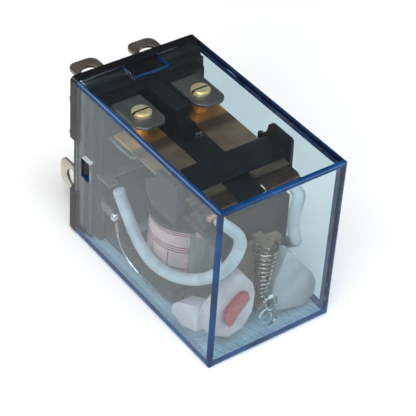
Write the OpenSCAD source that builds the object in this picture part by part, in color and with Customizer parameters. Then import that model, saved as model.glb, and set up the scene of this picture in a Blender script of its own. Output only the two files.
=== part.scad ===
// Plug-in relay: two changeover poles and an indicator, in a clear push-fit cover.
// The origin is the centre of the base's seating face. +Y runs along the plug
// blades, away from the case; +Z points to the contact side; X is the width.
// All sizes are in millimetres. Left is -X and right is +X.

/* [Case] */
// Width of the case, along X
case_w = 21.5; // [21.5:0.1:22.5]
// Height of the case, along Z
case_h = 28; // [28:0.1:28.6]
// Depth of the case, from its end face to the seating face
case_d = 36; // [36:0.1:36.6]
// Wall thickness of the cover
wall = 1; // [0.8:0.05:1]
// Radius of the cover's outer edges
edge_r = 0.8; // [0.5:0.05:0.8]
// Thickness of the base's flange, behind the cover
flange_t = 1.6; // [1.4:0.1:1.8]
// Clearance between the base's plug and the cover
plug_gap = 0.05; // [0.03:0.01:0.1]

/* [Terminals] */
// Length of a plug blade outside the base
blade_len = 6.4; // [6:0.1:6.6]
// Width of a plug blade
blade_w = 4.8; // [4.6:0.1:4.8]
// Thickness of a plug blade
blade_t = 0.5; // [0.4:0.05:0.5]
// Diameter of the hole in a plug blade
blade_hole_d = 3; // [2.6:0.1:3]
// Distance of the hole's centre from the seating face
blade_hole_y = 3.2; // [3:0.1:3.5]
// Distance of each pole from the middle of the relay
pole_x = 5.05; // [5:0.05:5.1]
// Height of the normally closed terminals
nc_z = 10.75; // [10.7:0.05:10.8]
// Height of the normally open terminals
no_z = 5.4; // [5.3:0.05:5.45]
// Height of the common terminals
com_z = -0.7; // [-0.8:0.05:-0.6]
// Height of the coil terminals, which stand upright
coil_pin_z = -7.4; // [-7.5:0.05:-7.3]
// Distance of each coil terminal from the middle of the relay
coil_pin_x = 8.1; // [8:0.05:8.15]

/* [Contacts] */
// Where the contacts meet, along Y
contact_y = -9.7; // [-9.8:0.05:-9.6]
// Radius of a contact's head
contact_r = 1.15; // [1:0.05:1.2]
// Radius of the slotted rivet head on the closed contact
rivet_r = 1.45; // [1.3:0.05:1.45]
// Width of a moving contact spring
spring_w = 5.7; // [5.5:0.1:5.7]
// Thickness of a moving contact spring
spring_t = 0.3; // [0.2:0.05:0.3]
// Height of the underside of the moving contact springs
spring_z = 7.6; // [7.55:0.05:7.65]

/* [Coil] */
// Place of the coil's upright axis, along Y
coil_y = -16.5; // [-16.6:0.05:-16.4]
// Radius of the winding
winding_r = 6.1; // [5.8:0.05:6.1]
// Lower end of the winding
winding_low = -10.4; // [-10.5:0.05:-10.3]
// Upper end of the winding
winding_top = -2.6; // [-2.7:0.05:-2.5]
// Radius of the iron core
core_r = 2.9; // [2.6:0.05:2.9]
// Height of the core's pole face
pole_z = -1.35; // [-1.4:0.01:-1.35]

/* [Armature] */
// Hinge axis along Y, over the yoke's front limb
hinge_y = -30; // [-30.05:0.01:-29.95]
// Height of the hinge axis and of the armature's underside
hinge_z = -0.6; // [-0.6:0.01:-0.58]
// Thickness of the armature, the yoke and the other iron parts
iron_t = 1.2; // [1.1:0.05:1.2]
// Half width of the yoke and of the armature's front flap
yoke_half = 5.3; // [5:0.05:5.3]

/* [Return spring] */
// Turns of the conical return spring
spring_turns = 11; // [8:1:12]
// Mean radius of its wide upper end
spring_top_r = 1.65; // [1.5:0.05:1.7]
// Mean radius of its narrow lower end
spring_low_r = 0.5; // [0.5:0.05:0.6]
// Radius of its wire
spring_wire_r = 0.17; // [0.12:0.01:0.18]

/* [Leads] */
// Radius of the white flexible leads
lead_r = 0.85; // [0.75:0.05:0.85]
// Radius of the thin bare leads
thin_r = 0.16; // [0.12:0.01:0.2]

/* [Hidden] */

$fn = 48;
half_w = case_w / 2;
half_h = case_h / 2;
front = -case_d;
cover_rear = -flange_t;
inner_w = half_w - wall;
inner_h = half_h - wall;
inner_front = front + wall;
cut = 0.5;               // how far a cutting solid runs past what it cuts

// The base's stepped plug, from the flange forwards: depth, half width, top.
plug_steps = [[-3.1, inner_w - plug_gap, inner_h - plug_gap],
              [-4.5, inner_w - 0.55, inner_h - 0.6],
              [-5.8, inner_w - 1.3, inner_h - 1.3]];
plug_front = plug_steps[2][0];
tray_half = 7.5;         // outer face of the base's lower rails
tray_front = -23.3;
tray_top = -10.45;

// Snap windows in the cover's side walls: Y from, Y to, Z from, Z to
window = [-5.2, -3, -1.8, 1.6];
// Notches in the cover's top and bottom rear edges
notch_half = 2.9;
notch_front = -4.7;

wrap_r = winding_r + 0.02;       // inner radius of the label and the tape
armature_rear = -12.6;
spring_rear = -8.1;
card_front = -25.2;
card_rear = -20;
iron_front = hinge_y - iron_t / 2;   // front face of the yoke and of the armature's flap
spring_x = pole_x + 0.2;  // the springs sit a little further out than the terminals
return_y = -32.7;        // axis of the return spring
return_top = 1.6;
return_low = -7.6;
hook_low = -9.3;
tail_front = -8.9;       // front end of each coil terminal's solder tail

copper = [0.80, 0.52, 0.42];
gold = [0.90, 0.72, 0.38];
steel = [0.62, 0.60, 0.56];
dark_iron = [0.28, 0.26, 0.24];
black = [0.07, 0.07, 0.09];
tinned = [0.72, 0.70, 0.66];
white = [0.88, 0.91, 0.94];

// ---- shapes used by several parts ----

// A rectangle with round corners, centred, with true arcs.
module round_rect(w, h, r) {
  square([w - 2 * r, h], center = true);
  square([w, h - 2 * r], center = true);
  for (sx = [-1, 1], sy = [-1, 1])
    translate([sx * (w / 2 - r), sy * (h / 2 - r)]) circle(r);
}

// Extrudes a drawing in (x, z) from the front face y0 back to y1.
module along_y(y0, y1)
  translate([0, y1, 0]) rotate([90, 0, 0]) linear_extrude(y1 - y0) children();

// Extrudes a drawing in (y, z) from x0 to x1.
module along_x(x0, x1)
  translate([x0, 0, 0]) rotate([90, 0, 90]) linear_extrude(x1 - x0) children();

// Extrudes a drawing in (x, y) from z0 up to z1.
module along_z(z0, z1) translate([0, 0, z0]) linear_extrude(z1 - z0) children();

// A box given by its two corners.
module span(a, b) translate(a) cube(b - a);

module rod_y(x, z, r, y0, y1)
  translate([x, y1, z]) rotate([90, 0, 0]) cylinder(r = r, h = y1 - y0);

module rod_z(x, y, r, z0, z1) translate([x, y, z0]) cylinder(r = r, h = z1 - z0);

// ---- tubes along a path ----

function unit(v) = v / norm(v);

// Points of a smooth curve through p, with n steps between neighbours.
function at(p, i) = p[max(0, min(len(p) - 1, i))];
function blend4(a, b, c, d, t) =
  0.5 * (2 * b + (c - a) * t + (2 * a - 5 * b + 4 * c - d) * t * t
         + (3 * b - a - 3 * c + d) * t * t * t);
function smooth(p, n) = concat(
  [for (i = [0 : len(p) - 2], k = [0 : n - 1])
    blend4(at(p, i - 1), at(p, i), at(p, i + 1), at(p, i + 2), k / n)],
  [p[len(p) - 1]]);

function tangents(p) =
  [for (i = [0 : len(p) - 1]) unit(at(p, i + 1) - at(p, i - 1))];
function square_to(n, t) = unit(n - (n * t) * t);
// Normals carried along the path, so that the tube doesn't twist.
function normals(t) =
  [for (i = 0, n = square_to([0.31, 0.23, 0.92], t[0]); i < len(t);
        i = i + 1, n = i < len(t) ? square_to(n, t[i]) : n) n];

// A round tube of radius r along p, with flat ends.
module tube(p, r, sides = 8) {
  t = tangents(p);
  n = normals(t);
  last = len(p) - 1;
  points = [for (i = [0 : last], k = [0 : sides - 1])
    p[i] + r * (cos(360 * k / sides) * n[i] + sin(360 * k / sides) * cross(t[i], n[i]))];
  skin = [for (i = [0 : last - 1], k = [0 : sides - 1])
    let (a = i * sides + k, b = i * sides + (k + 1) % sides)
    [a, a + sides, b + sides, b]];
  ends = [[for (k = [0 : sides - 1]) k],
          [for (k = [sides - 1 : -1 : 0]) last * sides + k]];
  polyhedron(points, concat(skin, ends), convexity = 10);
}

// ---- case ----

// The cover's outer body: every edge round but those at its open rear.
module case_body() {
  long = case_d - flange_t;
  reach = long + 2 * edge_r;       // the far round corners fall behind the rear
  intersection() {
    along_y(front, cover_rear) round_rect(case_w, case_h, edge_r);
    along_x(-half_w, half_w)
      translate([front + reach / 2, 0]) round_rect(reach, case_h, edge_r);
    along_z(-half_h, half_h)
      translate([0, front + reach / 2]) round_rect(case_w, reach, edge_r);
  }
}

module cover() color([0.55, 0.72, 0.95], 0.35) {
  gate_z = -10;
  gate_r = 1.25;
  difference() {
    case_body();
    span([-inner_w, inner_front, -inner_h], [inner_w, cover_rear + cut, inner_h]);
    for (s = [-1, 1]) {
      span([-notch_half, notch_front, s * half_h - cut - wall],
           [notch_half, cover_rear + cut, s * half_h + cut + wall]);
      span([s * half_w - wall - cut, window[0], window[2]],
           [s * half_w + wall + cut, window[1], window[3]]);
    }
  }
  // moulding boss and its short rib, inside the end wall
  difference() {
    rod_y(0, gate_z, gate_r, inner_front, inner_front + 1);
    rod_y(0, gate_z, gate_r - 0.4, inner_front + 0.3, inner_front + 1 + cut);
  }
  span([-0.3, inner_front, gate_z + gate_r - 0.1], [0.3, inner_front + 0.6, -6.6]);
  span([-0.9, inner_front, -7.4], [0.9, inner_front + 0.8, -6.2]);
}

// ---- terminals ----

// A flat blade drawn in (x, y) round x = 0: rounded tip and a round hole.
module blade_outline(inner) {
  r = 1.4;
  h = blade_w / 2;
  difference() {
    union() {
      polygon([[-h, inner], [h, inner], [h, blade_len - r], [h - r, blade_len],
               [r - h, blade_len], [-h, blade_len - r]]);
      for (s = [-1, 1]) translate([s * (h - r), blade_len - r]) circle(r);
    }
    translate([0, blade_hole_y]) circle(d = blade_hole_d);
  }
}

// The closed contact's plate: one front corner is round, the other is cut off.
module nc_outline() {
  h = blade_w / 2;
  tip = -13.1;
  r = 1.5;
  blade_outline(plug_front);
  difference() {
    union() {
      polygon([[-h, plug_front + cut], [-h, tip + 1.2], [-h + 1.2, tip], [h - r, tip],
               [h - r, tip + r], [h, tip + r], [h, plug_front + cut]]);
      translate([h - r, tip + r]) circle(r);
    }
    translate([0, contact_y]) circle(0.8);
  }
}

module no_outline() {
  h = blade_w / 2 - 0.1;
  blade_outline(plug_front);
  difference() {
    polygon([[-h, plug_front + cut], [-h, -11], [-h + 0.6, -11.6], [h - 0.6, -11.6],
             [h, -11], [h, plug_front + cut]]);
    translate([0, contact_y]) circle(0.7);
  }
}

// The common plate carries a solder tail towards its side of the relay.
module com_outline(side) {
  blade_outline(plug_front);
  tail = side * (coil_pin_x - pole_x);
  polygon([[tail - 0.8, plug_front + cut], [tail - 0.8, -8.6], [tail + 0.8, -8.6],
           [tail + 0.8, plug_front + cut]]);
  polygon([[-blade_w / 2, plug_front + cut], [-blade_w / 2, -7], [blade_w / 2, -7],
           [blade_w / 2, plug_front + cut]]);
}

module flat_terminal(side, z)
  translate([side * pole_x, 0, 0]) along_z(z - blade_t / 2, z + blade_t / 2) children();

module nc_terminal(side) color(steel) flat_terminal(side, nc_z) nc_outline();
module no_terminal(side) color(steel) flat_terminal(side, no_z) no_outline();
module com_terminal(side) color(steel) flat_terminal(side, com_z) com_outline(side);

// An upright blade with a narrow solder tail inside. Its drawing is in (y, z), so
// the blade's outline is turned a quarter.
module coil_terminal(side) color(tinned)
  along_x(side * coil_pin_x - blade_t / 2, side * coil_pin_x + blade_t / 2)
    translate([0, coil_pin_z]) {
      rotate(-90) blade_outline(plug_front);
      polygon([[plug_front + cut, 0.6], [plug_front + cut, 2.2], [tail_front, 2.2],
               [tail_front, 0.6]]);
    }

// ---- base ----

module base() color(black) difference() {
  union() {
    along_y(-flange_t, 0) difference() {
      round_rect(case_w, case_h, edge_r);
      // finger notches in both sides of the flange
      for (s = [-1, 1])
        polygon([[s * (half_w + cut), 3.9], [s * (half_w - 0.7), 2.7],
                 [s * (half_w - 0.7), -5.4], [s * (half_w + cut), -6.6]]);
    }
    // stepped plug inside the cover
    for (i = [0 : 2])
      span([-plug_steps[i][1], plug_steps[i][0], -inner_h + plug_gap],
           [plug_steps[i][1], -flange_t, plug_steps[i][2]]);
    // tab in the top notch of the cover, and its twin below
    for (s = [-1, 1])
      span([-notch_half + 0.15, notch_front + 0.15, min(s * (half_h - 0.35), s * 12)],
           [notch_half - 0.15, -flange_t, max(s * (half_h - 0.35), s * 12)]);
    // snap latches in the side windows
    for (s = [-1, 1])
      along_z(window[2] + 0.15, window[3] - 0.15)
        polygon([[s * (inner_w - 1), window[0] + 0.15], [s * (inner_w - 0.3), window[0] + 0.15],
                 [s * (half_w - 0.35), window[1] - 0.15], [s * (inner_w - 1), window[1] - 0.15]]);
    // barrier between the poles, lower towards the armature
    span([-1.3, -12.4, 3.4], [1.3, plug_front + cut, 11.7]);
    span([-1.05, -14.4, 3.4], [1.05, -12.4 + cut, 9.9]);
    span([-0.9, -18.9, 3.4], [0.9, -14.4 + cut, 5.9]);
    // two rails that hold the coil and the yoke
    for (s = [-1, 1])
      span([min(s * 5.6, s * tray_half), tray_front, -inner_h + plug_gap],
           [max(s * 5.6, s * tray_half), plug_front + cut, tray_top]);
  }
  // slots that the terminals are pressed into
  for (s = [-1, 1]) {
    for (z = [nc_z, no_z, com_z])
      span([s * pole_x - blade_w / 2, plug_front - cut, z - blade_t / 2],
           [s * pole_x + blade_w / 2, cut, z + blade_t / 2]);
    span([s * pole_x - 4, plug_front - cut, com_z - blade_t / 2],
         [s * pole_x + 4, plug_front + cut, com_z + blade_t / 2]);
    span([s * coil_pin_x - blade_t / 2, plug_front - cut, coil_pin_z - blade_w / 2],
         [s * coil_pin_x + blade_t / 2, cut, coil_pin_z + blade_w / 2]);
  }
}

// ---- fixed contacts ----

module nc_contact(side) color(gold) {
  top = nc_z + blade_t / 2;
  x = side * pole_x;
  difference() {
    union() {
      rod_z(x, contact_y, rivet_r, top, top + 0.45);
      rod_z(x, contact_y, rivet_r - 0.25, top, top + 0.65);
    }
    span([x - 2, contact_y - 0.17, top + 0.2], [x + 2, contact_y + 0.17, top + 1]);
  }
  rod_z(x, contact_y, 0.8, nc_z - blade_t / 2 - 0.1, top + 0.1);
  rod_z(x, contact_y, contact_r + 0.05, 9.9, nc_z - blade_t / 2);
}

module no_contact(side) color(gold) {
  x = side * pole_x;
  rod_z(x, contact_y, contact_r + 0.1, no_z + blade_t / 2, 6.05);
  rod_z(x, contact_y, 0.7, no_z - blade_t / 2 - 0.1, no_z + blade_t / 2 + 0.1);
  rod_z(x, contact_y, 1, no_z - blade_t / 2 - 0.4, no_z - blade_t / 2);
}

// ---- coil and iron ----

module bobbin() color(black) difference() {
  union() {
    rod_z(0, coil_y, 6.6, winding_top, winding_top + 0.6);
    rod_z(0, coil_y, core_r + 0.7, winding_low, winding_top + 0.1);
    // the lower flange rests on the rails
    span([-6.9, coil_y - 6.5, winding_low - 0.05], [6.9, coil_y + 6.5, winding_low]);
    span([-5.5, coil_y - 6.5, -11.3], [5.5, coil_y + 6.5, winding_low]);
  }
  rod_z(0, coil_y, core_r, -12, winding_top + 2);
}

module coil_winding() color([0.62, 0.34, 0.20]) difference() {
  rod_z(0, coil_y, winding_r, winding_low, winding_top);
  rod_z(0, coil_y, core_r + 0.7, winding_low - cut, winding_top + cut);
}

// A thin band round the coil between two angles.
module band(r0, r1, z0, z1, from, sweep_angle)
  translate([0, coil_y, 0]) rotate([0, 0, from])
    rotate_extrude(angle = sweep_angle) translate([r0, z0]) square([r1 - r0, z1 - z0]);

module coil_label() color([0.93, 0.88, 0.84])
  band(wrap_r, wrap_r + 0.12, winding_low + 0.1, winding_top - 0.1, 92, 137);

module coil_tape() color([0.62, 0.68, 0.60])
  band(wrap_r, wrap_r + 0.08, winding_low + 0.1, winding_top - 0.1, 229.5, 222);

module coil_tape_tab() color([0.92, 0.90, 0.82])
  band(6.65, 6.85, winding_top - 0.9, winding_top + 0.5, 235, 13);

module core() color(steel) {
  rod_z(0, coil_y, core_r, -11.3, pole_z);
  rod_z(0, coil_y, 1.6, -12.75, -11.2);
}

module shading_ring() color(copper) difference() {
  rod_z(0, coil_y, core_r + 0.5, winding_top + 0.6, pole_z - 0.1);
  rod_z(0, coil_y, core_r, winding_top, pole_z + cut);
}

module yoke() color(dark_iron) difference() {
  union() {
    span([-yoke_half, iron_front, -12.5], [yoke_half, iron_front + iron_t, hinge_z - 0.05]);
    span([-yoke_half, iron_front, -12.5], [yoke_half, coil_y + 4.5, -12.5 + iron_t]);
  }
  rod_z(0, coil_y, 1.6, -14, -11);
}

// Tapered plate in front of the yoke, bent forward at its foot into a hook.
module spring_hook() color([0.42, 0.36, 0.30]) {
  rear = iron_front - 0.05;
  face = rear - 0.4;
  along_y(face, rear)
    polygon([[-4.1, 0.6], [-3.2, 1.6], [3.2, 1.6], [4.1, 0.6], [4.1, -1.6], [1.1, hook_low],
             [-1.1, hook_low], [-4.1, -1.6]]);
  span([-0.9, return_y - 0.6, hook_low], [0.9, face + 0.2, hook_low + 0.4]);
  span([-0.35, return_y - 0.6, hook_low + 0.1], [0.35, return_y - 0.2, hook_low + 0.9]);
}

// The coil's radius runs evenly from the narrow foot to the wide top, and a
// straight tail drops from the foot to the hook.
module return_spring() color(steel) {
  steps = 14 * spring_turns;
  tube(concat([[spring_low_r, return_y, return_low - 0.7]],
    [for (i = [0 : steps])
      let (s = i / steps, r = spring_low_r + (spring_top_r - spring_low_r) * s,
           a = 360 * spring_turns * s)
      [r * cos(a), return_y + r * sin(a), return_low + (return_top - return_low) * s]]),
    spring_wire_r, 6);
}

// ---- leads ----

// From the common terminal's tail, down beside the coil, up to the spring's front.
lead_side = [[7.9, -9.45, -1.1], [7.6, -9.8, -2.6], [7.4, -10.9, -4.4], [7.4, -12.6, -6.2],
             [7.4, -15.2, -8.1], [7.4, -18.4, -8.8], [7.4, -22.6, -7.8], [7.4, -27, -5.3]];
lead_end_left = [[7.6, -30.2, -2.6], [7.6, -31.8, -0.9], [6.9, -32.9, 0.9], [5.8, -33.2, 2.4],
                 [5, -33.2, 4.2], [5.1, -33, 5.8], [5.8, -32.2, 6.8], [6.3, -31.2, 7.1],
                 [6.3, -30.3, 7.1]];
lead_end_right = [[7.3, -29.6, -3.1], [6.7, -31, -1.6], [5.8, -31.8, 0], [5.2, -31.9, 2.2],
                  [5.2, -31.9, 4.6], [5.6, -31.8, 6.2], [6.2, -31.3, 7], [6.3, -30.3, 7.1]];
coil_lead_path = [[8.1, -9.3, -7.2], [8.2, -9.8, -8.9], [8, -11.4, -9.9], [7.1, -12.9, -10],
                  [6, -13.8, -9.9]];
lamp_lead_path = [[-8.4, -10.2, -6.4], [-9, -11.8, -8.6], [-8.7, -14, -11],
                  [-8.3, -18.2, -12.2], [-8.2, -22.8, -12], [-8.2, -25.7, -10.8]];

function mirrored(p, side) = [for (q = p) [side * q[0], q[1], q[2]]];

module lead_wire(side) color(white)
  tube(smooth(mirrored(concat(lead_side, side < 0 ? lead_end_left : lead_end_right), side), 4),
       lead_r);

module coil_lead(side) color(copper) tube(smooth(mirrored(coil_lead_path, side), 4), 0.1, 6);

module indicator_lead() color(tinned) tube(smooth(lamp_lead_path, 4), thin_r, 6);

module solder_joints() color([0.82, 0.83, 0.84])
  for (s = [-1, 1]) difference() {
    translate([s * coil_pin_x, tail_front - 0.3, coil_pin_z + 1.4]) sphere(0.85);
    // the terminal's tail ends inside the blob
    span([s * coil_pin_x - blade_t / 2, tail_front, coil_pin_z + 0.6],
         [s * coil_pin_x + blade_t / 2, tail_front + 2, coil_pin_z + 2.2]);
  }

// ---- indicator ----

module lens_outline() polygon([[-3.7, -3.9], [-3.4, -5.2], [-4.5, -6.4], [-5.4, -7.4],
  [-6, -8.6], [-6.8, -8.7], [-7.4, -7.6], [-7.5, -6], [-6.8, -5.1], [-5.4, -3.8], [-4.6, -3.4]]);

module indicator_housing_left() color([0.93, 0.86, 0.88], 0.8) {
  difference() {
    along_y(-33.7, -31.6)
      polygon([[-6.5, -1.2], [-5.6, -0.3], [-4.4, -0.5], [-2.6, -3.1], [-2.1, -5], [-2.3, -8.4],
               [-3.8, -10.7], [-6, -11.4], [-8.6, -9.9], [-8.9, -6.2], [-7.6, -4.4]]);
    rod_y(-5.5, -6.2, 1.35, -33.2, -31);
  }
  // leaf along the side wall
  along_x(-9.4, -7)
    polygon([[-31.7, -5.8], [-29, -7.3], [-27, -8.5], [-25.9, -9.7], [-25.8, -11.3],
             [-28.2, -11.9], [-31.7, -10.4]]);
}

module indicator_housing_right() color([0.88, 0.90, 0.92], 0.8)
  along_y(-33.4, -31.6)
    polygon([[3.4, -0.4], [4.4, -1], [5.2, -2.8], [8.5, -6.6], [9.4, -8.8], [9.3, -10.9],
             [7.4, -12.4], [2.4, -11], [1.5, -8.4], [1.7, -5.2]]);

module indicator_lens() color([0.85, 0.10, 0.12]) along_y(-34.4, -33.7) lens_outline();

module indicator_lamp() color([0.95, 0.35, 0.30]) {
  rod_y(-5.5, -6.2, 1.25, -33.1, -31.2);
  rod_y(-5.5, -6.2, 1.5, -31.3, -31.05);
}

module resistor() color([0.80, 0.72, 0.55]) {
  rod_y(8.4, -11.9, 0.9, -22, -18.8);
  for (y = [-22.6, -18.9]) rod_y(8.4, -11.9, 0.2, y, y + 0.7);
}

// ---- what the armature carries ----

// A flat plate over the pole, bent up in front, with a tongue for the return spring.
module armature() color(dark_iron) {
  flap_top = 6.8;
  span([-4.8, iron_front, hinge_z], [4.8, armature_rear, hinge_z + iron_t]);
  span([-yoke_half, iron_front, hinge_z], [yoke_half, iron_front + 0.8, flap_top]);
  span([-0.8, return_y - 0.5, return_top + 0.25], [0.8, iron_front + 0.1, return_top + 0.75]);
}

module ear_outline() difference() {
  polygon([[-25.7, 4.1], [-25.7, 10.7], [-25.3, 11], [-21.4, 11], [-20.9, 10.8],
           [-20.5, 10.4], [-18.3, 8.8], [-18.3, 5.7], [-20, 4.1]]);
  translate([-18, 10.4]) circle(2.5);
}

module armature_card() color(black) difference() {
  union() {
    span([-8.95, card_front, 5.1], [8.95, card_rear, 8.2]);
    span([-4.6, card_front, hinge_z + iron_t], [4.6, card_rear, 5.2]);
    span([-2.3, -29.1, 4.6], [2.3, card_front + cut, 7.5]);
    // tongue between the springs, back over the low end of the barrier
    span([-2.3, card_rear - cut, 6.9], [2.3, -14.9, 7.8]);
    // guide rib between the springs
    span([-0.6, card_front + 0.6, 8.1], [0.6, card_rear - 0.6, 8.6]);
    for (s = [-1, 1])
      along_x(min(s * 8.9, s * 9.5), max(s * 8.9, s * 9.5)) ear_outline();
  }
  for (s = [-1, 1])
    span([s * spring_x - spring_w / 2, card_front - cut, spring_z],
         [s * spring_x + spring_w / 2, card_rear + cut, spring_z + spring_t]);
}

module card_rivets() color(steel)
  for (s = [-1, 1]) rod_z(s * 3.1, -18.9, 0.7, hinge_z + iron_t, hinge_z + iron_t + 0.5);

// A strip in (y, z) with a second leaf ahead of the card and a rolled front edge.
module spring_profile() {
  top = spring_z + spring_t;
  leaf = 0.25;
  leaf_front = -26.6;
  bend = 0.9;
  fold_y = -28.4;
  low = 6.2;
  function roll(r, a) = [fold_y + r * cos(a), top - bend + r * sin(a)];
  polygon(concat(
    [[spring_rear, spring_z], [spring_rear, top], [card_front - 0.1, top],
     [card_front - 0.1, top + leaf], [leaf_front, top + leaf], [leaf_front, top]],
    [for (a = [90 : 10 : 180]) roll(bend, a)],
    [[fold_y - bend, low], [fold_y - bend + spring_t, low]],
    [for (a = [180 : -10 : 90]) roll(bend - spring_t, a)]));
}

module contact_spring(side) color([0.66, 0.52, 0.40]) difference() {
  x = side * spring_x;
  along_x(x - spring_w / 2, x + spring_w / 2) spring_profile();
  rod_z(side * pole_x, contact_y, 0.6, spring_z - cut, spring_z + 1);
}

module moving_contact(side) color(gold) {
  x = side * pole_x;
  rod_z(x, contact_y, contact_r, spring_z + spring_t, 9.85);
  rod_z(x, contact_y, 0.6, spring_z - 0.1, spring_z + spring_t + 0.1);
  rod_z(x, contact_y, contact_r, 7, spring_z);
}

// Copper sleeve on the spring's rolled edge, where the white lead is welded.
module lead_ferrule(side) color(copper)
  along_x(side * spring_x - 2.4, side * spring_x + 2.4)
    translate([-29.7, 7.48]) round_rect(0.8, 0.84, 0.35);

cover();
base();
nc_terminal(-1);  // nc_terminal_left
nc_terminal(1);  // nc_terminal_right
no_terminal(-1);  // no_terminal_left
no_terminal(1);  // no_terminal_right
com_terminal(-1);  // com_terminal_left
com_terminal(1);  // com_terminal_right
coil_terminal(-1);  // coil_terminal_left
coil_terminal(1);  // coil_terminal_right
nc_contact(-1);  // nc_contact_left
nc_contact(1);  // nc_contact_right
no_contact(-1);  // no_contact_left
no_contact(1);  // no_contact_right
bobbin();
coil_winding();
coil_label();
coil_tape();
coil_tape_tab();
core();
shading_ring();
yoke();
spring_hook();
return_spring();
lead_wire(-1);  // lead_wire_left
lead_wire(1);  // lead_wire_right
coil_lead(-1);  // coil_lead_left
coil_lead(1);  // coil_lead_right
solder_joints();
indicator_housing_left();
indicator_housing_right();
indicator_lens();
indicator_lamp();
indicator_lead();
resistor();
armature();
armature_card();
card_rivets();
contact_spring(-1);  // contact_spring_left
contact_spring(1);  // contact_spring_right
moving_contact(-1);  // moving_contact_left
moving_contact(1);  // moving_contact_right
lead_ferrule(-1);  // lead_ferrule_left
lead_ferrule(1);  // lead_ferrule_right
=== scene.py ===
"""Looks of the plug-in relay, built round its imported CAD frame. Lengths in mm are scaled by MM."""

import math

import bmesh
import bpy
from mathutils import Matrix, Vector, noise

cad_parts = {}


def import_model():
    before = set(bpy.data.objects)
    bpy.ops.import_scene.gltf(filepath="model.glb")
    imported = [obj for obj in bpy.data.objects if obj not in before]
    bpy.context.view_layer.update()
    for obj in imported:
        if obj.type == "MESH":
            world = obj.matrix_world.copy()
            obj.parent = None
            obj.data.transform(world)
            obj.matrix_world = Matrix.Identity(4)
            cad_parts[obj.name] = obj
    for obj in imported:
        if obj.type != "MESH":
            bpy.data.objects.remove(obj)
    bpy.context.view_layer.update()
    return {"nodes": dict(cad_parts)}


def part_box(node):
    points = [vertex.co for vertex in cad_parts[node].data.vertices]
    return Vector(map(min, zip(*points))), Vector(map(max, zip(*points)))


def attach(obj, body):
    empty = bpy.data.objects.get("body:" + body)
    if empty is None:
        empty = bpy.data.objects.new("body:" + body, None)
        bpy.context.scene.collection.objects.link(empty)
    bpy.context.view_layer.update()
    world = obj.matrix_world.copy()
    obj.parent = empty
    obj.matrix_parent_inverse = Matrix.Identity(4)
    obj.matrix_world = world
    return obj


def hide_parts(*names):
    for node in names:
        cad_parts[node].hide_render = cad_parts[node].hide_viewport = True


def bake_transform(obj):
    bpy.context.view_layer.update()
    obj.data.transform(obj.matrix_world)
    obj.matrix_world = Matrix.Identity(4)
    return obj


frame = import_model()
NODES = frame["nodes"]
MM = 0.001

# The same sizes as the CAD part's, in mm
FLOOR_Z = -14.0
FOOT_SKIN = 0.01        # the cover's lowest outside lies within this of the floor
CASE_CENTRE = Vector((0.0, -18.0, 0.0))
COIL_Y = -16.5
WINDING_R = 6.1
HOOK_PLATE_Y = -30.63   # the hook plate lies ahead of this
LEAD_R = 0.85
SPRING_TURNS = 11
SPRING_Y = -32.7
SPRING_LOW, SPRING_TOP = -7.6, 1.6
SPRING_LOW_R, SPRING_TOP_R = 0.5, 1.65
SPRING_WIRE_R = 0.17

LEAD_SIDE = [(7.9, -9.45, -1.1), (7.6, -9.8, -2.6), (7.4, -10.9, -4.4), (7.4, -12.6, -6.2),
             (7.4, -15.2, -8.1), (7.4, -18.4, -8.8), (7.4, -22.6, -7.8), (7.4, -27, -5.3)]
LEAD_END_LEFT = [(7.6, -30.2, -2.6), (7.6, -31.8, -0.9), (6.9, -32.9, 0.9), (5.8, -33.2, 2.4),
                 (5, -33.2, 4.2), (5.1, -33, 5.8), (5.8, -32.2, 6.8), (6.3, -31.2, 7.1),
                 (6.3, -30.3, 7.1)]
LEAD_END_RIGHT = [(7.3, -29.6, -3.1), (6.7, -31, -1.6), (5.8, -31.8, 0), (5.2, -31.9, 2.2),
                  (5.2, -31.9, 4.6), (5.6, -31.8, 6.2), (6.2, -31.3, 7), (6.3, -30.3, 7.1)]


# ---- colours and node trees ----

def srgb(r, g, b):
    """A colour named by its display values, 0 to 255, in linear values."""
    def linear(c):
        c /= 255
        return c / 12.92 if c <= 0.04045 else ((c + 0.055) / 1.055) ** 2.4
    return (linear(r), linear(g), linear(b), 1)


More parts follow.
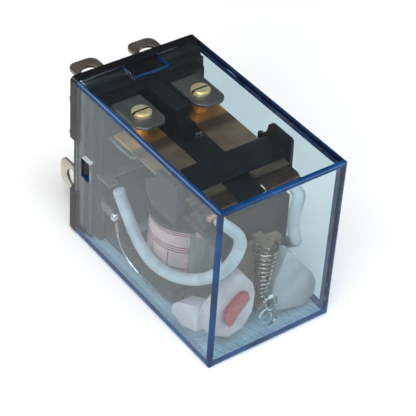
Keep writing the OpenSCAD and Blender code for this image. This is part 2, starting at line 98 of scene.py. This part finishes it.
class Shade:
    """A material under construction: its Principled shader, and short calls for the usual nodes."""

    def __init__(self, name):
        self.material = bpy.data.materials.new(name)
        self.material.use_nodes = True
        self.tree = self.material.node_tree
        self.shader = self.tree.nodes["Principled BSDF"]
        self.output = self.tree.nodes["Material Output"]
        self.place = self.node("ShaderNodeTexCoord").outputs["Object"]

    def node(self, kind, **values):
        made = self.tree.nodes.new(kind)
        for key, value in values.items():
            setattr(made, key, value)
        return made

    def join(self, source, target):
        self.tree.links.new(source, target)

    def put(self, target, value):
        if isinstance(value, bpy.types.NodeSocket):
            self.join(value, target)
        else:
            target.default_value = value

    def set(self, **values):
        """Shader inputs by name, with _ for a space: numbers, colours or outputs of other nodes."""
        for key, value in values.items():
            self.put(self.shader.inputs[key.replace("_", " ")], value)

    def math(self, operation, a, b=0.0):
        made = self.node("ShaderNodeMath", operation=operation)
        self.put(made.inputs[0], a)
        self.put(made.inputs[1], b)
        return made.outputs[0]

    def scaled(self, factors):
        """The place in mm, stretched by one factor along each axis."""
        made = self.node("ShaderNodeMapping")
        self.join(self.place, made.inputs["Vector"])
        made.inputs["Scale"].default_value = [f / MM for f in factors]
        return made.outputs[0]

    def axes(self):
        """The place in mm as X, Y and Z."""
        made = self.node("ShaderNodeSeparateXYZ")
        self.join(self.scaled((1, 1, 1)), made.inputs[0])
        return made.outputs[0], made.outputs[1], made.outputs[2]

    def noise(self, size, detail=3.0, stretch=(1, 1, 1), rough=0.55):
        """Noise whose blotches are about size mm across, 0 to 1."""
        made = self.node("ShaderNodeTexNoise")
        self.join(self.scaled([s / size for s in stretch]), made.inputs["Vector"])
        made.inputs["Scale"].default_value = 1
        made.inputs["Detail"].default_value = detail
        made.inputs["Roughness"].default_value = rough
        return made.outputs["Fac"]

    def ramp(self, factor, stops):
        """stops is a list of (place, colour or grey)."""
        made = self.node("ShaderNodeValToRGB")
        band = made.color_ramp
        while len(band.elements) < len(stops):
            band.elements.new(0.5)
        for element, (at, value) in zip(band.elements, stops):
            element.position = at
            element.color = value if isinstance(value, tuple) else (value, value, value, 1)
        self.join(factor, made.inputs["Fac"])
        return made.outputs["Color"]

    def mix(self, factor, a, b, kind="MIX"):
        made = self.node("ShaderNodeMix", data_type="RGBA", blend_type=kind)
        self.put(made.inputs[0], factor)
        self.put(made.inputs[6], a)
        self.put(made.inputs[7], b)
        return made.outputs[2]

    def between(self, value, low, high):
        """1 where value is between low and high, else 0."""
        return self.math("MULTIPLY", self.math("GREATER_THAN", value, low),
                         self.math("LESS_THAN", value, high))

    def bump(self, height, depth, strength=1.0):
        """A normal from height, with a relief of depth mm."""
        made = self.node("ShaderNodeBump")
        made.inputs["Strength"].default_value = strength
        made.inputs["Distance"].default_value = depth * MM
        self.join(height, made.inputs["Height"])
        return made.outputs["Normal"]


def worn(name, dark, light, size, rough, relief=0.01, stretch=(1, 1, 1), grain=0.25, **values):
    """A surface whose colour drifts between two, with uneven gloss and a fine grain in relief."""
    shade = Shade(name)
    drift = shade.noise(size, 4, stretch)
    fine = shade.noise(grain, 3, stretch)
    shade.set(Base_Color=shade.ramp(drift, [(0.3, dark), (0.7, light)]),
              Roughness=shade.ramp(fine, [(0.3, rough[0]), (0.75, rough[1])]),
              Normal=shade.bump(fine, relief), **values)
    return shade


# ---- materials, one function for each slot of the record ----

def lamp_rays_pass(shade, tint):
    """Lets lamps' and scattered light straight through, so that the inside is lit softly."""
    path = shade.node("ShaderNodeLightPath")
    passing = shade.math("MAXIMUM", path.outputs["Is Shadow Ray"], path.outputs["Is Diffuse Ray"])
    open_side = shade.node("ShaderNodeBsdfTransparent")
    open_side.inputs["Color"].default_value = tint
    choice = shade.node("ShaderNodeMixShader")
    shade.put(choice.inputs[0], passing)
    shade.join(shade.output.inputs["Surface"].links[0].from_socket, choice.inputs[1])
    shade.join(open_side.outputs[0], choice.inputs[2])
    shade.join(choice.outputs[0], shade.output.inputs["Surface"])


def clear_cover():
    """Clear moulded plastic. Its blue comes from the length of the light's way inside it.

    The outside of the lower wall, which lies on the floor, is darker: painted shade for the shadowed
    floor seen through it.
    """
    shade = Shade("clear_cover")
    # painted shade: the lower wall's outside is darkened for the shadowed floor under it
    foot = shade.math("LESS_THAN", shade.axes()[2], FLOOR_Z + FOOT_SKIN)
    flow = shade.noise(6, 2, (1, 0.4, 1))
    shade.set(Base_Color=shade.mix(foot, (0.9, 0.95, 0.955, 1), (0.06, 0.14, 0.21, 1)),
              Roughness=0.0, IOR=1.41, Transmission_Weight=1.0,
              Normal=shade.bump(flow, 0.008, 0.4))
    lamp_rays_pass(shade, (0.86, 0.89, 0.92, 1))
    tint = shade.node("ShaderNodeVolumeAbsorption")
    tint.inputs["Color"].default_value = (0.28, 0.72, 0.88, 1)
    tint.inputs["Density"].default_value = 125
    shade.join(tint.outputs[0], shade.output.inputs["Volume"])
    return shade


def painted_edge_blue():
    """The cover's round edges, with painted light: a deep blue standing in for the light that runs
    along the walls.
    """
    shade = Shade("painted_edge_blue")
    drift = shade.noise(4, 3)
    # painted light: navy to blue in place of the light that comes out along the walls
    shade.set(Base_Color=shade.ramp(drift, [(0.3, srgb(2, 36, 74)), (0.7, srgb(10, 72, 128))]),
              Roughness=0.2, IOR=1.45, Specular_IOR_Level=0.4,
              Normal=shade.bump(shade.noise(0.8, 3), 0.01, 0.4))
    lamp_rays_pass(shade, (0.5, 0.62, 0.8, 1))
    return shade


def black_base():
    return worn("black_base", srgb(8, 9, 12), srgb(17, 18, 23), 2.5, (0.26, 0.48), 0.006,
                Specular_IOR_Level=0.35)


def blade_metal():
    """Dull plated strip; the two low coil blades are brighter tin outside the base."""
    shade = Shade("blade_metal")
    drift = shade.noise(1.6, 4, (1, 0.25, 1))
    fine = shade.noise(0.3, 3, (1, 0.25, 1))
    x, y, z = shade.axes()
    low = shade.math("MULTIPLY", shade.math("LESS_THAN", z, -3.0),
                     shade.math("GREATER_THAN", y, -1.0))
    plated = shade.ramp(drift, [(0.3, srgb(100, 92, 87)), (0.7, srgb(134, 126, 119))])
    tinned = shade.ramp(drift, [(0.3, srgb(176, 170, 154)), (0.7, srgb(214, 208, 192))])
    shade.set(Base_Color=shade.mix(low, plated, tinned), Metallic=0.75,
              Roughness=shade.ramp(fine, [(0.3, 0.32), (0.75, 0.52)]),
              Normal=shade.bump(fine, 0.004))
    return shade


def contact_gold():
    """Turned gold-plated heads, with a painted cream highlight on top, painted deeper-gold shade
    below and painted shade in the screwdriver slot.
    """
    shade = Shade("contact_gold")
    x, y, z = shade.axes()
    drift = shade.noise(1.6, 3)
    # painted light: the top is a lit cream highlight, the gold below is its shaded copy
    painted_lit_top = shade.ramp(drift, [(0.3, srgb(255, 206, 140)), (0.7, srgb(255, 238, 196))])
    low = shade.ramp(drift, [(0.3, srgb(240, 160, 70)), (0.7, srgb(255, 206, 120))])
    # painted shade in the screwdriver slot
    slot = shade.math("MULTIPLY", shade.between(y, -9.9, -9.5), shade.between(z, 11.05, 11.62))
    colour = shade.mix(shade.math("GREATER_THAN", z, 10.9), low, painted_lit_top)
    shade.set(Base_Color=shade.mix(slot, colour, srgb(40, 27, 15)), Metallic=0.6,
              Roughness=shade.ramp(shade.noise(0.3, 3), [(0.3, 0.3), (0.75, 0.42)]),
              Normal=shade.bump(shade.noise(0.4, 3), 0.002))
    return shade


def spring_bronze():
    """Rolled bronze strip with fine streaks along it.

    It has a painted golden sheen near the contacts and a painted dark reflection behind them; it is
    olive on its front leaf and dark on its rolled edge.
    """
    shade = Shade("spring_bronze")
    streak = shade.noise(0.5, 4, (1, 0.06, 1))
    drift = shade.noise(3, 3)
    strip = shade.ramp(drift, [(0.3, srgb(132, 104, 84)), (0.7, srgb(160, 134, 106))])
    strip = shade.mix(shade.ramp(streak, [(0.45, 0.0), (0.8, 0.35)]), strip, srgb(108, 84, 68))
    x, y, z = shade.axes()
    across = shade.noise(0.8, 4, (0.15, 1, 1))
    olive = shade.ramp(across, [(0.35, srgb(92, 80, 62)), (0.6, srgb(116, 102, 80))])
    brown = shade.ramp(across, [(0.35, srgb(40, 32, 30)), (0.65, srgb(84, 66, 58))])
    # from y -16 to -8: a painted dark reflection of the closed plate, then a painted golden sheen
    # from the contacts
    painted_light_span = shade.math("MULTIPLY", shade.math("ADD", y, 16.0), 0.125)
    painted_dark_reflection = shade.ramp(painted_light_span, [(0.1, 0.0), (0.25, 0.75), (0.42, 0.75), (0.5, 0.0)])
    strip = shade.mix(painted_dark_reflection, strip, srgb(70, 46, 30))
    painted_golden_sheen = shade.ramp(painted_light_span, [(0.42, 0.0), (0.55, 0.9)])
    strip = shade.mix(painted_golden_sheen, strip, srgb(214, 150, 72))
    colour = shade.mix(shade.math("LESS_THAN", y, -25.3), strip, olive)
    colour = shade.mix(shade.math("LESS_THAN", y, -26.65), colour, brown)
    shade.set(Base_Color=colour, Metallic=0.6, Normal=shade.bump(streak, 0.003),
              Roughness=shade.ramp(streak, [(0.3, 0.3), (0.8, 0.45)]))
    return shade


def lead_copper():
    return worn("lead_copper", srgb(196, 128, 118), srgb(232, 178, 168), 1.2, (0.3, 0.5), 0.01,
                Metallic=0.7)


def winding_copper():
    """Enamelled wire in close turns round the coil's upright axis, with painted shade in the grooves
    between the turns.
    """
    shade = Shade("winding_copper")
    turns = shade.math("PINGPONG", shade.axes()[2], 0.06)
    groove = shade.math("MULTIPLY", turns, 16.0)
    # painted shade: darker towards the groove between turns, lighter on each turn
    shade.set(Base_Color=shade.ramp(groove, [(0.0, srgb(58, 24, 12)), (0.6, srgb(150, 72, 34))]),
              Metallic=0.7, Roughness=0.3, Coat_Weight=0.6, Normal=shade.bump(groove, 0.03))
    return shade


def iron():
    """Dull iron; the hook plate, which stands ahead of the yoke's face, is browner and lighter."""
    shade = Shade("iron")
    drift = shade.noise(1.4, 4)
    fine = shade.noise(0.25, 3)
    ahead = shade.math("LESS_THAN", shade.axes()[1], HOOK_PLATE_Y)
    plain = shade.ramp(drift, [(0.3, srgb(26, 24, 21)), (0.7, srgb(54, 49, 43))])
    hook = shade.ramp(drift, [(0.3, srgb(116, 98, 80)), (0.7, srgb(150, 130, 108))])
    shade.set(Base_Color=shade.mix(ahead, plain, hook), Metallic=0.5,
              Roughness=shade.ramp(fine, [(0.3, 0.38), (0.75, 0.6)]),
              Normal=shade.bump(fine, 0.008))
    return shade


def core_iron():
    return worn("core_iron", srgb(130, 126, 120), srgb(172, 168, 160), 1.0, (0.25, 0.45), 0.01,
                Metallic=0.95)


def spring_steel():
    return worn("spring_steel", srgb(104, 99, 90), srgb(172, 165, 152), 0.6, (0.18, 0.34),
                0.004, Metallic=1.0)


def solder():
    return worn("solder", srgb(170, 172, 172), srgb(226, 228, 228), 0.5, (0.12, 0.3), 0.02,
                Metallic=1.0)


def white_lead():
    """A soft white sleeve with a few small dark specks."""
    shade = Shade("white_lead")
    specks = shade.ramp(shade.noise(0.7, 2), [(0.71, 0.0), (0.76, 0.8)])
    drift = shade.noise(2.5, 3)
    sleeve = shade.ramp(drift, [(0.3, srgb(178, 186, 190)), (0.7, srgb(208, 213, 215))])
    shade.set(Base_Color=shade.mix(specks, sleeve, srgb(120, 122, 126)),
              Roughness=shade.ramp(drift, [(0.3, 0.4), (0.7, 0.55)]), Subsurface_Weight=0.15,
              Subsurface_Scale=0.0004, Normal=shade.bump(shade.noise(0.35, 3), 0.012))
    return shade


def paper_label():
    """Pinkish white paper with plain red rules and a row of empty boxes."""
    shade = Shade("paper_label")
    x, y, z = shade.axes()
    rules = None
    for centre in (-9.5, -6.5, -6.1, -5.7, -3.5, -3.15):
        line = shade.between(z, centre - 0.09, centre + 0.09)
        rules = line if rules is None else shade.math("MAXIMUM", rules, line)
    turn = shade.math("ARCTAN2", x, shade.math("SUBTRACT", y, COIL_Y))
    along = shade.math("MULTIPLY", turn, WINDING_R)
    posts = shade.math("LESS_THAN", shade.math("PINGPONG", along, 1.5), 0.07)
    posts = shade.math("MULTIPLY", posts, shade.between(z, -9.5, -6.5))
    rules = shade.math("MAXIMUM", rules, posts)
    fibre = shade.noise(0.3, 4)
    paper = shade.ramp(fibre, [(0.3, srgb(222, 176, 172)), (0.7, srgb(242, 206, 200))])
    shade.set(Base_Color=shade.mix(rules, paper, srgb(140, 10, 30)), Roughness=0.6,
              Normal=shade.bump(fibre, 0.006))
    return shade


def clear_tape():
    """Greenish clear tape over the winding, with upright folds."""
    shade = Shade("clear_tape")
    folds = shade.noise(1.2, 3, (1, 1, 0.08))
    tint = shade.ramp(folds, [(0.3, srgb(92, 102, 88)), (0.52, srgb(132, 142, 122)),
                              (0.75, srgb(176, 184, 164))])
    shade.set(Base_Color=tint, Roughness=0.25, Coat_Weight=0.5, Coat_Roughness=0.1,
              Normal=shade.bump(folds, 0.05))
    return shade


def milky_plastic():
    """Milky moulding, pinkish on the left and greyer on the right."""
    shade = Shade("milky_plastic")
    side = shade.math("GREATER_THAN", shade.axes()[0], 0.0)
    cloud = shade.noise(3, 3)
    left = shade.ramp(cloud, [(0.3, srgb(196, 180, 184)), (0.7, srgb(220, 208, 210))])
    right = shade.ramp(cloud, [(0.3, srgb(156, 162, 164)), (0.7, srgb(186, 188, 190))])
    shade.set(Base_Color=shade.mix(side, left, right), Roughness=0.3, IOR=1.46,
              Subsurface_Weight=0.5, Subsurface_Scale=0.0012,
              Normal=shade.bump(shade.noise(0.6, 2), 0.01))
    return shade


def red_lens():
    shade = worn("red_lens", srgb(150, 26, 30), srgb(186, 42, 46), 1.2, (0.2, 0.36), 0.01,
                 Coat_Weight=0.5)
    shade.set(Subsurface_Weight=0.2, Subsurface_Scale=0.0008)
    return shade


def resistor_body():
    """Lacquered body with three plain colour bands across it."""
    shade = Shade("resistor_body")
    y = shade.axes()[1]
    colour = shade.ramp(shade.noise(0.8, 3),
                        [(0.3, srgb(196, 168, 120)), (0.7, srgb(214, 190, 146))])
    for centre, band in ((-19.5, srgb(120, 60, 30)), (-20.3, srgb(30, 28, 28)),
                         (-21.1, srgb(196, 60, 40))):
        colour = shade.mix(shade.between(y, centre - 0.17, centre + 0.17), colour, band)
    shade.set(Base_Color=colour, Roughness=0.35, Coat_Weight=0.4,
              Normal=shade.bump(shade.noise(0.4, 2), 0.01))
    return shade


MAKERS = (clear_cover, black_base, blade_metal, contact_gold, spring_bronze, lead_copper,
          winding_copper, iron, core_iron, spring_steel, solder, white_lead, paper_label,
          clear_tape, milky_plastic, red_lens, resistor_body)
FINISH = {make.__name__: make().material for make in MAKERS}
# the cover's painted deep blue edge light
PAINTED_EDGE_BLUE = painted_edge_blue().material


# ---- the CAD nodes: materials, and small round edges on what shows ----

BEVEL_MM = {"base": 0.1, "armature_card": 0.12, "nc_terminal_left": 0.07, "nc_terminal_right": 0.07,
            "no_terminal_left": 0.07, "no_terminal_right": 0.07, "com_terminal_left": 0.07,
            "com_terminal_right": 0.07, "coil_terminal_left": 0.07, "coil_terminal_right": 0.07,
            "nc_contact_left": 0.04, "nc_contact_right": 0.04, "contact_spring_left": 0.05,
            "contact_spring_right": 0.05, "armature": 0.1, "yoke": 0.12, "spring_hook": 0.08,
            "bobbin": 0.1, "indicator_housing_left": 0.25, "indicator_housing_right": 0.25,
            "indicator_lens": 0.18, "moving_contact_left": 0.1, "moving_contact_right": 0.1,
            "no_contact_left": 0.1, "no_contact_right": 0.1, "lead_ferrule_left": 0.1,
            "lead_ferrule_right": 0.1, "coil_tape_tab": 0.04}
WELD_MM = 0.002

# The cover, in mm: its wall, its notch, its windows and the strips of painted edge blue
WALL = 1.0
NOTCH_HALF = 3.0
NOTCH_FRONT, NOTCH_REAR = -4.8, -1.7
WINDOW_HALF = 2.5
COVER_ROUND_TO = -3.0   # no painted edge blue on the round edges behind this
FOOT_STRIP = 1.7
RIGHT_STRIP = 2.4
# A face counts as round if its normal's largest part is below these
NEAR_ROUND, FAR_ROUND = 0.97, 0.999


def round_edges(piece, width):
    """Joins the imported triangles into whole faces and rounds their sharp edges."""
    mesh = piece.data
    if "custom_normal" in mesh.attributes:
        mesh.attributes.remove(mesh.attributes["custom_normal"])
    mesh.shade_smooth()
    weld = piece.modifiers.new("weld", "WELD")
    weld.merge_threshold = WELD_MM * MM
    flat = piece.modifiers.new("flat", "DECIMATE")
    flat.decimate_type = "DISSOLVE"
    flat.angle_limit = math.radians(0.5)
    bevel = piece.modifiers.new("edges", "BEVEL")
    bevel.width = width * MM
    bevel.segments = 3
    bevel.limit_method = "ANGLE"
    bevel.angle_limit = math.radians(32)
    bevel.harden_normals = True
    bevel.use_clamp_overlap = True


for name, piece in NODES.items():
    slot = piece.data.materials[0].name.split(".")[0]
    piece.data.materials[0] = FINISH[slot]
    if name in BEVEL_MM:
        round_edges(piece, BEVEL_MM[name])


# ---- pieces made here ----

def smooth_path(points, steps):
    """Points of a smooth curve through the given ones, as the CAD part's own leads run."""
    points = [Vector(p) for p in points]
    path = []
    for i in range(len(points) - 1):
        a, b = points[max(0, i - 1)], points[i]
        c, d = points[i + 1], points[min(len(points) - 1, i + 2)]
        for k in range(steps):
            t = k / steps
            path.append(0.5 * (2 * b + (c - a) * t + (2 * a - 5 * b + 4 * c - d) * t * t
                               + (3 * b - a - 3 * c + d) * t ** 3))
    return path + [points[-1]]


def tube(name, path, radius, sides, finish):
    """A round tube along path (mm) with closed, slightly drawn-in ends. radius(i) is in mm."""
    bm = bmesh.new()
    last = len(path) - 1
    side = Vector((0.31, 0.23, 0.92))
    rings = []
    for i, point in enumerate(path):
        way = (path[min(i + 1, last)] - path[max(i - 1, 0)]).normalized()
        side = (side - side.dot(way) * way).normalized()
        up = way.cross(side)
        turns = (2 * math.pi * k / sides for k in range(sides))
        outs = (math.cos(a) * side + math.sin(a) * up for a in turns)
        rings.append([bm.verts.new((point + radius(i) * out) * MM) for out in outs])
    for low, high in zip(rings, rings[1:]):
        for k in range(sides):
            n = (k + 1) % sides
            bm.faces.new((low[k], low[n], high[n], high[k]))
    bm.faces.new(reversed(rings[0]))
    bm.faces.new(rings[-1])
    bmesh.ops.recalc_face_normals(bm, faces=bm.faces)
    return finished(name, bm, finish)


def finished(name, bm, finish):
    """Turns a bmesh into a smooth-shaded piece with that finish."""
    mesh = bpy.data.meshes.new(name)
    bm.to_mesh(mesh)
    bm.free()
    mesh.shade_smooth()
    mesh.materials.append(FINISH[finish])
    piece = bpy.data.objects.new(name, mesh)
    bpy.context.scene.collection.objects.link(piece)
    return piece


def lead(side_name, side, end):
    """A white flexible lead from the common terminal to the moving spring's front."""
    route = [(side * x, y, z) for x, y, z in LEAD_SIDE + end]
    path = smooth_path(route, 8)
    last = len(path) - 1

    def radius(i):
        return LEAD_R * (0.86 if i in (0, last) else 1)

    piece = tube("lead_sleeve_" + side_name, path, radius, 20, "white_lead")
    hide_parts("lead_wire_" + side_name)
    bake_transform(piece)


def return_spring():
    """The conical return spring in smooth wire, hooked at both ends."""
    steps = 28 * SPRING_TURNS
    path = [Vector((SPRING_LOW_R, SPRING_Y, SPRING_LOW - 0.7))]
    for i in range(steps + 1):
        s = i / steps
        r = SPRING_LOW_R + (SPRING_TOP_R - SPRING_LOW_R) * s
        a = 2 * math.pi * SPRING_TURNS * s
        path.append(Vector((r * math.cos(a), SPRING_Y + r * math.sin(a),
                            SPRING_LOW + (SPRING_TOP - SPRING_LOW) * s)))
    piece = tube("return_spring_wire", path, lambda i: SPRING_WIRE_R, 12, "spring_steel")
    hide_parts("return_spring")
    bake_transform(piece)


def solder_blobs():
    """Two lumpy drops of solder on the coil terminals' tails."""
    low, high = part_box("solder_joints")
    radius = (high.y - low.y) / 2
    bm = bmesh.new()
    for side in (-1, 1):
        centre = Vector((side * (high.x - radius), (low.y + high.y) / 2, (low.z + high.z) / 2))
        made = bmesh.ops.create_icosphere(bm, subdivisions=4, radius=1)
        for vert in made["verts"]:
            way = vert.co.normalized()
            lump = 0.93 + 0.14 * noise.noise(way * 1.7 + Vector((side * 3, 0, 0)))
            lump += 0.03 * noise.noise(way * 5)
            vert.co = centre + way * radius * min(lump, 1)
    piece = finished("solder_blobs", bm, "solder")
    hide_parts("solder_joints")
    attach(piece, "case")


def cut_across(bm, faces, axis, place):
    """Cuts faces in two where the plane square to axis crosses them at place."""
    edges = list(dict.fromkeys(e for f in faces for e in f.edges))
    verts = list(dict.fromkeys(v for f in faces for v in f.verts))
    way = Vector([1.0 if k == axis else 0.0 for k in range(3)])
    bmesh.ops.bisect_plane(bm, geom=verts + edges + faces, plane_co=way * place, plane_no=way)


def cover_shell():
    """The cover, with painted light on its round outer edges, notch and windows: a deep blue for the
    light that runs along the walls.

    Strips of that painted blue also run along the edges that are seen through other walls.
    """
    bm = bmesh.new()
    bm.from_mesh(NODES["cover"].data)
    low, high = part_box("cover")
    inner_x, inner_y, inner_z = high.x - WALL * MM, low.y + WALL * MM, high.z - WALL * MM
    foot_top = low.z + FOOT_STRIP * MM
    right_top, right_front = high.z - RIGHT_STRIP * MM, low.y + RIGHT_STRIP * MM
    half_wall = 0.5 * WALL * MM

    def upright_outside(face):
        at = face.calc_center_median()
        return abs(face.normal.z) < 0.1 and (abs(at.x) > inner_x + half_wall
                                             or at.y < low.y + half_wall)

    for axis, place in ((2, foot_top), (2, right_top), (1, right_front)):
        cut_across(bm, [f for f in bm.faces if upright_outside(f)], axis, place)
    bm.normal_update()
    for face in bm.faces:
        at, way = face.calc_center_median(), face.normal
        far = way.x > 0.3 or way.z < -0.3
        in_wall = abs(at.x) > inner_x or abs(at.z) > inner_z or at.y < inner_y
        rounded = (in_wall and at.y < COVER_ROUND_TO * MM
                   and max(abs(c) for c in way) < (FAR_ROUND if far else NEAR_ROUND))
        foot = upright_outside(face) and at.z < foot_top
        right = (way.x > FAR_ROUND and at.x > inner_x
                 and (at.z > right_top or at.y < right_front))
        notch = (abs(way.z) < 0.1 and at.z > inner_z and abs(at.x) < NOTCH_HALF * MM
                 and NOTCH_FRONT * MM < at.y < NOTCH_REAR * MM)
        window = way.z > 0.9 and abs(at.x) > inner_x and abs(at.z) < WINDOW_HALF * MM
        # these faces take the painted deep blue edge light
        face.material_index = int(rounded or foot or right or notch or window)
    mesh = NODES["cover"].data.copy()
    bm.to_mesh(mesh)
    bm.free()
    piece = bpy.data.objects.new("cover_shell", mesh)
    bpy.context.scene.collection.objects.link(piece)
    # second slot: the painted deep blue edge light
    mesh.materials.append(PAINTED_EDGE_BLUE)
    round_edges(piece, 0.12)
    piece.modifiers["flat"].delimit = {"NORMAL", "MATERIAL"}
    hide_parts("cover")
    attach(piece, "case")


cover_shell()
lead("left", -1, LEAD_END_LEFT)
lead("right", 1, LEAD_END_RIGHT)
return_spring()
solder_blobs()


# ---- floor, light and camera ----

def floor():
    bm = bmesh.new()
    bmesh.ops.create_grid(bm, x_segments=1, y_segments=1, size=1.5)
    mesh = bpy.data.meshes.new("floor")
    bm.to_mesh(mesh)
    bm.free()
    made = bpy.data.objects.new("floor", mesh)
    made.location.z = FLOOR_Z * MM
    bpy.context.scene.collection.objects.link(made)
    shade = Shade("floor")
    shade.set(Base_Color=(0.97, 0.97, 0.97, 1), Roughness=0.8, Specular_IOR_Level=0.1)
    mesh.materials.append(shade.material)


def lamp(name, place, size, power):
    """A square soft light at place (metres), aimed at the case."""
    data = bpy.data.lights.new(name, "AREA")
    data.shape = "SQUARE"
    data.size = size
    data.energy = power
    made = bpy.data.objects.new(name, data)
    made.location = place
    aim = CASE_CENTRE * MM - made.location
    made.rotation_euler = aim.to_track_quat("-Z", "Y").to_euler()
    bpy.context.scene.collection.objects.link(made)


def world():
    made = bpy.data.worlds.new("studio")
    made.use_nodes = True
    back = made.node_tree.nodes["Background"]
    back.inputs["Color"].default_value = (0.9, 0.95, 1, 1)
    back.inputs["Strength"].default_value = 0.12
    bpy.context.scene.world = made


def camera():
    """The camera of the photograph: its turn, height, roll, distance and framing."""
    turn, height, roll = (math.radians(a) for a in (-38.28, 39.182, 4.059))
    distance, aside, above = 235.353, 0.966, -1.605
    back = Vector((math.sin(turn) * math.cos(height), -math.cos(turn) * math.cos(height),
                   math.sin(height)))
    right = (-back).cross(Vector((0, 0, 1))).normalized()
    up = right.cross(-back)
    r = math.cos(roll) * right + math.sin(roll) * up
    u = -math.sin(roll) * right + math.cos(roll) * up
    data = bpy.data.cameras.new("camera")
    data.sensor_width = 36
    data.lens = 142.86
    data.clip_start = 0.01
    made = bpy.data.objects.new("camera", data)
    place = (CASE_CENTRE + back * distance + r * aside + u * above) * MM
    made.matrix_world = Matrix.Translation(place) @ Matrix((r, u, back)).transposed().to_4x4()
    bpy.context.scene.collection.objects.link(made)
    bpy.context.scene.camera = made


floor()
world()
lamp("overhead", (-0.10, -0.20, 0.60), 0.40, 3.2)
lamp("left_front", (-0.42, -0.30, 0.30), 0.25, 1.4)
lamp("right_front", (0.40, -0.40, 0.22), 0.25, 1.0)
lamp("left_back", (-0.40, 0.42, 0.35), 0.25, 1.2)
camera()
bpy.context.scene.view_settings.view_transform = "Standard"
